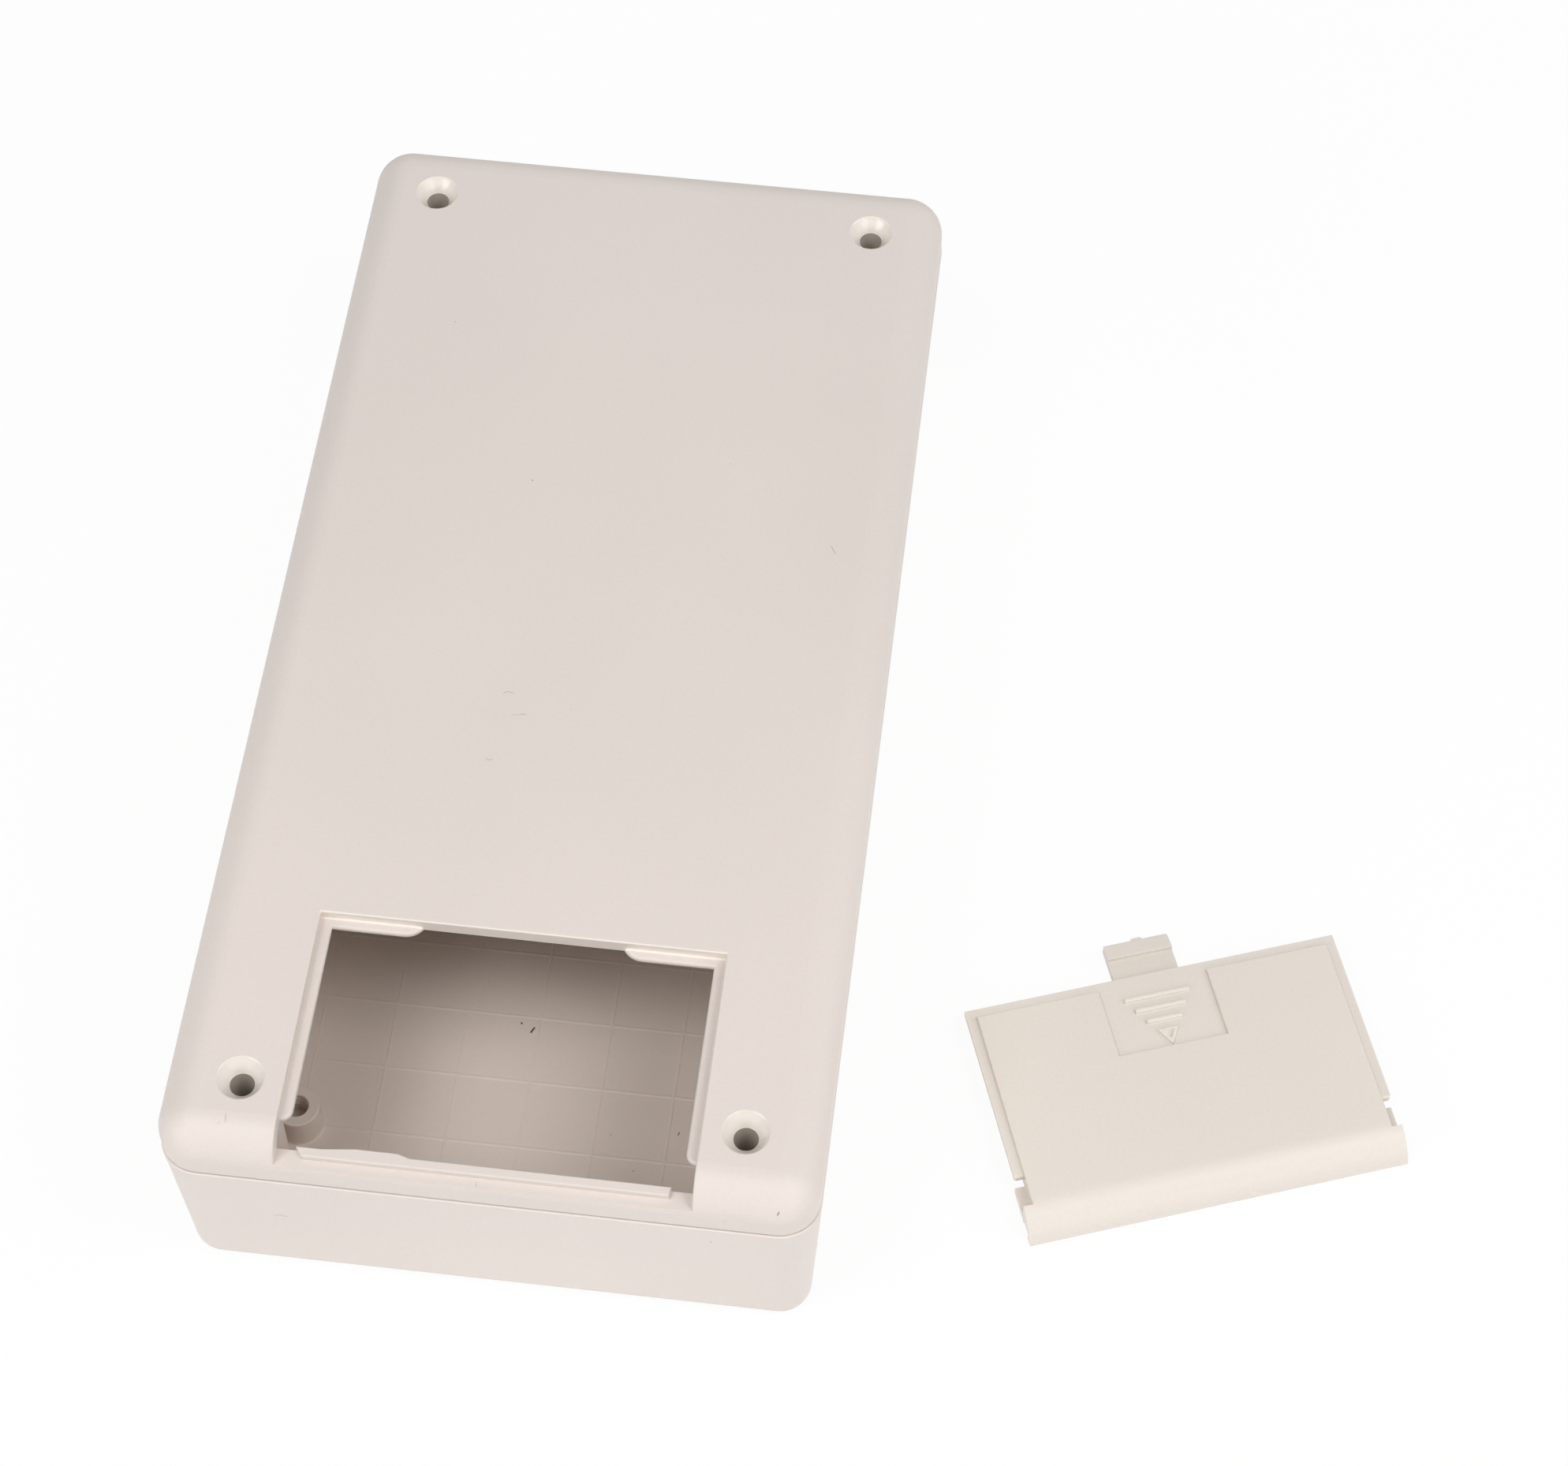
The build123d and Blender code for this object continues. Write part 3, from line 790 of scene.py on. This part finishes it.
@dataclass
class Studio:
    """The paper floor, the lamps and the even light of the room."""

    lamps: list[Softbox]
    room_light: float = 0.2
    room_colour: str = "#FFFFFF"
    floor_half_mm: float = 2500.0
    floor_drop_mm: float = 0.05
    paper: PaperSweep = field(default_factory=PaperSweep)

    def build(self) -> None:
        """Lays the floor, hangs the lamps and lights the room."""
        self._lay_floor()
        for lamp in self.lamps:
            lamp.hang()
        self._light_room()
        LOG.info("studio: %d lamps", len(self.lamps))

    def _lay_floor(self) -> None:
        """Lays the paper just under the case."""
        half, drop = metres(self.floor_half_mm), metres(self.floor_drop_mm)
        corners = [(-half, -half, -drop), (half, -half, -drop), (half, half, -drop),
                   (-half, half, -drop)]
        mesh = bpy.data.meshes.new("background_paper")
        mesh.from_pydata(corners, [], [(0, 1, 2, 3)])
        mesh.materials.append(self.paper.material())
        link_object("background_paper", mesh)

    def _light_room(self) -> None:
        """Gives the world a white look and an even light."""
        world = bpy.data.worlds.new("room")
        bpy.context.scene.world = world
        world.use_nodes = True
        tree = world.node_tree
        tree.nodes.clear()
        light = add_node(tree, "ShaderNodeBackground",
                         inputs={"Color": linear(self.room_colour), "Strength": self.room_light})
        white = add_node(tree, "ShaderNodeBackground", inputs={"Strength": 1.0})
        both = add_node(tree, "ShaderNodeMixShader",
                        inputs={"Fac": seen_directly(tree), 1: light.outputs["Background"],
                                2: white.outputs["Background"]})
        add_node(tree, "ShaderNodeOutputWorld", inputs={"Surface": both.outputs["Shader"]})


@dataclass(frozen=True)
class CameraStand:
    """The camera's place and turn, as fitted to the photograph."""

    place: Place = (61.91, -286.60, 460.51)
    azimuth_deg: float = 6.6727
    elevation_deg: float = 57.1471
    roll_deg: float = -0.1566
    lens_mm: float = 86.10
    sensor_mm: float = 36.0
    nearest_mm: float = 10.0
    farthest_mm: float = 20000.0

    def set_up(self) -> None:
        """Makes the scene's camera."""
        azimuth, elevation = math.radians(self.azimuth_deg), math.radians(self.elevation_deg)
        forward = Vector((-math.sin(azimuth) * math.cos(elevation),
                          math.cos(azimuth) * math.cos(elevation), -math.sin(elevation)))
        level_right = forward.cross(Vector(UP)).normalized()
        level_up = level_right.cross(forward)
        roll = math.radians(self.roll_deg)
        up = math.cos(roll) * level_up + math.sin(roll) * level_right
        right = forward.cross(up)
        turned = Matrix((right, up, -forward)).transposed().to_4x4()
        data = bpy.data.cameras.new("camera")
        data.sensor_width = self.sensor_mm
        data.lens = self.lens_mm
        data.clip_start, data.clip_end = metres(self.nearest_mm), metres(self.farthest_mm)
        camera = link_object("camera", data)
        camera.matrix_world = Matrix.Translation(metre_point(self.place)) @ turned
        bpy.context.scene.camera = camera


# Screw holes: their places, and the radii of the countersink's rim, of its cone and of the bore
SCREW_X_MM = 32.4
SCREW_Y_MM = 74.4
SINK_RIM_MM = 3.15
CONE_MM = 2.94
BORE_MM = 1.64

# Heights of the surfaces that carry dirt, and of a thread's middle over the rear cover
COVER_TOP_MM = 36.05
CASE_FLOOR_MM = 2.1
ARROW_FLOOR_MM = 3.72
THREAD_LIFT_MM = 0.02


def on_cover(*spots: tuple[float, float]) -> Fibre:
    """Returns a fibre on the rear cover's flat top through the given x, y spots."""
    return Fibre([(x, y, COVER_TOP_MM + THREAD_LIFT_MM) for x, y in spots])


def dirt() -> list[Lint | Crumbs]:
    """Lists the loose dirt on the case.

    Returns:
        The lint, the shaving, the splinter, the bristle and the flecks.
    """
    floor = CASE_FLOOR_MM
    top = COVER_TOP_MM
    grey_lint = Lint(
        fibres=[
            on_cover((-8.49, -12.65), (-7.98, -12.15), (-7.63, -12.29), (-7.13, -12.36)),
            on_cover((-5.85, -15.77), (-5.54, -15.57), (-5.32, -15.64), (-4.92, -15.5)),
            on_cover((-9.17, -23.08), (-8.69, -23.4), (-8.21, -23.09)),
            on_cover((32.93, 17.25), (33.22, 16.61), (33.62, 15.98)),
        ],
        finish=DullDirt("spun_grey_lint", light="#BDB7B5", dark="#96908E"))
    faint_lint = Lint(
        fibres=[
            on_cover((-6.84, -15.86), (-6.4, -15.8), (-5.95, -15.78)),
            Fibre([(-28.51, -83.99, 16.45), (-27.9, -84.02, 16.85), (-27.2, -84.04, 16.95),
                   (-26.61, -84.03, 16.7)]),
            Fibre([(-34.05, -81.08, 35.71), (-33.92, -80.88, 35.79), (-33.78, -80.65, 35.86)]),
            Fibre([(-33.2, -79.66, 36.05), (-33.15, -80.2, 35.97), (-33.1, -80.75, 35.83)]),
            Fibre([(-0.86, -83.32, 32.01), (-0.7, -84.1, 32.01), (-0.6, -84.33, 31.6)]),
        ],
        finish=DullDirt("spun_pale_lint", light="#CFC8C2", dark="#B4ADA8"),
        name="faint_lint", seed=3)
    shaving = Lint(
        fibres=[Fibre([(-1.41, -45.82, floor + 0.1), (-1.22, -45.4, floor + 0.12),
                       (-1.01, -44.96, floor + 0.1)])],
        finish=DullDirt("cut_dark_shaving", light="#6C655B", dark="#4A453D"),
        thickness_mm=0.19, kink_mm=0.02, name="dark_shaving")
    splinter = Lint(
        fibres=[Fibre([(20.91, -59.07, floor + 0.05), (21.0, -58.8, floor + 0.05),
                       (21.06, -58.57, floor + 0.05)])],
        finish=DullDirt("torn_brown_splinter", light="#7A6550", dark="#5F4C3A"),
        thickness_mm=0.1, kink_mm=0.02, name="brown_splinter")
    bristle = Lint(
        fibres=[Fibre([(37.53, -83.97, 32.94), (37.6, -83.87, 33.18), (37.72, -83.74, 33.5)])],
        finish=DullDirt("torn_grey_bristle", light="#8E8A88", dark="#6F6B69"),
        thickness_mm=0.09, kink_mm=0.02, name="grey_bristle")
    dark_fleck = Crumbs(
        crumbs=[Crumb((-2.89, -44.5, floor + 0.08), 0.34)],
        finish=DullDirt("torn_dark_dust", light="#6B5F55", dark="#4E443C"), name="dark_fleck")
    pale_flecks = Crumbs(
        crumbs=[
            Crumb((11.78, -60.05, floor + 0.04), 0.2),
            Crumb((15.64, -65.09, floor + 0.04), 0.2),
            Crumb((-10.14, 23.49, top), 0.26),
            Crumb((17.17, 29.71, top), 0.16),
            Crumb((-25.69, 50.43, top), 0.2),
            Crumb((1.0, -13.96, top), 0.12),
            Crumb((29.02, -84.36, 23.84), 0.18),
            Crumb((30.88, -84.41, 30.48), 0.12),
            Crumb((86.74, -36.57, ARROW_FLOOR_MM), 0.26),
        ],
        finish=DullDirt("torn_brown_dust", light="#A79B90", dark="#8A7E74"), name="pale_flecks")
    return [grey_lint, faint_lint, shaving, splinter, bristle, dark_fleck, pale_flecks]


# The inside of the case, off the smooth core of the tool, and the low drilling grid on its floor
CAVITY = Patch(centre_mm=(0.0, 0.0, 21.0), half_mm=(40.2, 82.0, 20.0), colour="#E6D9CF",
               roughness=0.42)
GRID_RELIEF = SoftRelief(centre_mm=(0.0, 0.0, 2.15), half_mm=(40.2, 82.0, 0.06), softness=0.5)

# Far edge of the battery opening, smoother and paler: a painted highlight for light from behind
FAR_EDGE_PAINTED_HIGHLIGHT = Patch(centre_mm=(0.0, -49.09, 34.5), half_mm=(27.0, 0.3, 1.52),
                      colour="#EDE4DB", roughness=0.4)

# The raised grip marks of the loose cover, smoother and paler: a painted highlight on them
GRIP_MARKS_PAINTED_HIGHLIGHT = Patch(centre_mm=(85.66, -34.47, 3.755), half_mm=(5.2, 5.0, 0.228),
                   colour="#E5DDD4", roughness=0.36, turn_deg=20.17)


def moulded_pieces() -> list[MouldedPiece]:
    """Lists the three mouldings.

    Returns:
        Each moulding with its finish.
    """
    return [
        MouldedPiece(
            Node.REAR_COVER,
            MouldedAbs("moulded_abs_rear_cover", colour="#DED4CD", grain_depth_mm=0.012, zones=(
                # Painted shade: the top darkens towards the far end, as the light falls off there
                PaintedFarShade(from_mm=-50.0, to_mm=70.0, colour="#D9D0CA", roughness=0.5),
                FAR_EDGE_PAINTED_HIGHLIGHT,
                # Painted highlight: the rim and cone are paler, for the light from behind that they
                # lack
                SmoothDiscWithPaintedLight(SCREW_X_MM, SCREW_Y_MM, SINK_RIM_MM, colour="#E3DBD4", roughness=0.3),
                SmoothDiscWithPaintedLight(SCREW_X_MM, SCREW_Y_MM, CONE_MM, colour="#E5DED6", roughness=0.22),
                # Painted shade: the bore is darker, as shade falls down the hole
                SmoothDiscWithPaintedLight(SCREW_X_MM, SCREW_Y_MM, BORE_MM, colour="#C6BEB4", roughness=0.4)))),
        MouldedPiece(
            Node.FRONT_SHELL,
            MouldedAbs("moulded_abs_front_shell", colour="#E1D8D1", soft_relief=GRID_RELIEF,
                       zones=(CAVITY,))),
        MouldedPiece(
            Node.BATTERY_COVER,
            MouldedAbs("moulded_abs_battery_cover", colour="#DED6CD", roughness=0.42,
                       grain_depth_mm=0.003, zones=(GRIP_MARKS_PAINTED_HIGHLIGHT,))),
    ]


def studio() -> Studio:
    """Sets out the lamps that light the object as in the photograph.

    Returns:
        The studio with its lamps and its floor.
    """
    return Studio(lamps=[
        Softbox("left_key", azimuth_deg=-45.0, elevation_deg=60.0, width_mm=600.0,
                height_mm=600.0, watts=5.5),
        Softbox("right_key", azimuth_deg=65.0, elevation_deg=55.0, width_mm=600.0,
                height_mm=600.0, watts=4.85),
        Softbox("low_left_fill", azimuth_deg=-45.0, elevation_deg=20.0, width_mm=800.0,
                height_mm=300.0, watts=3.7),
        Softbox("low_right_fill", azimuth_deg=45.0, elevation_deg=20.0, width_mm=800.0,
                height_mm=300.0, watts=2.0),
        Softbox("side_fill", azimuth_deg=90.0, elevation_deg=25.0, width_mm=800.0,
                height_mm=300.0, watts=2.6),
        Softbox("back_fill", azimuth_deg=180.0, elevation_deg=20.0, width_mm=1200.0,
                height_mm=300.0, watts=2.2),
    ])


def main() -> None:
    """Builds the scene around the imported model."""
    logging.basicConfig(level=logging.INFO, format="%(name)s %(message)s")
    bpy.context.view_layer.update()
    CameraStand().set_up()
    for piece in moulded_pieces():
        piece.dress()
    for scrap in dirt():
        scrap.build()
    studio().build()
    bpy.context.scene.view_settings.view_transform = "Standard"


if __name__ == "__main__":
    main()
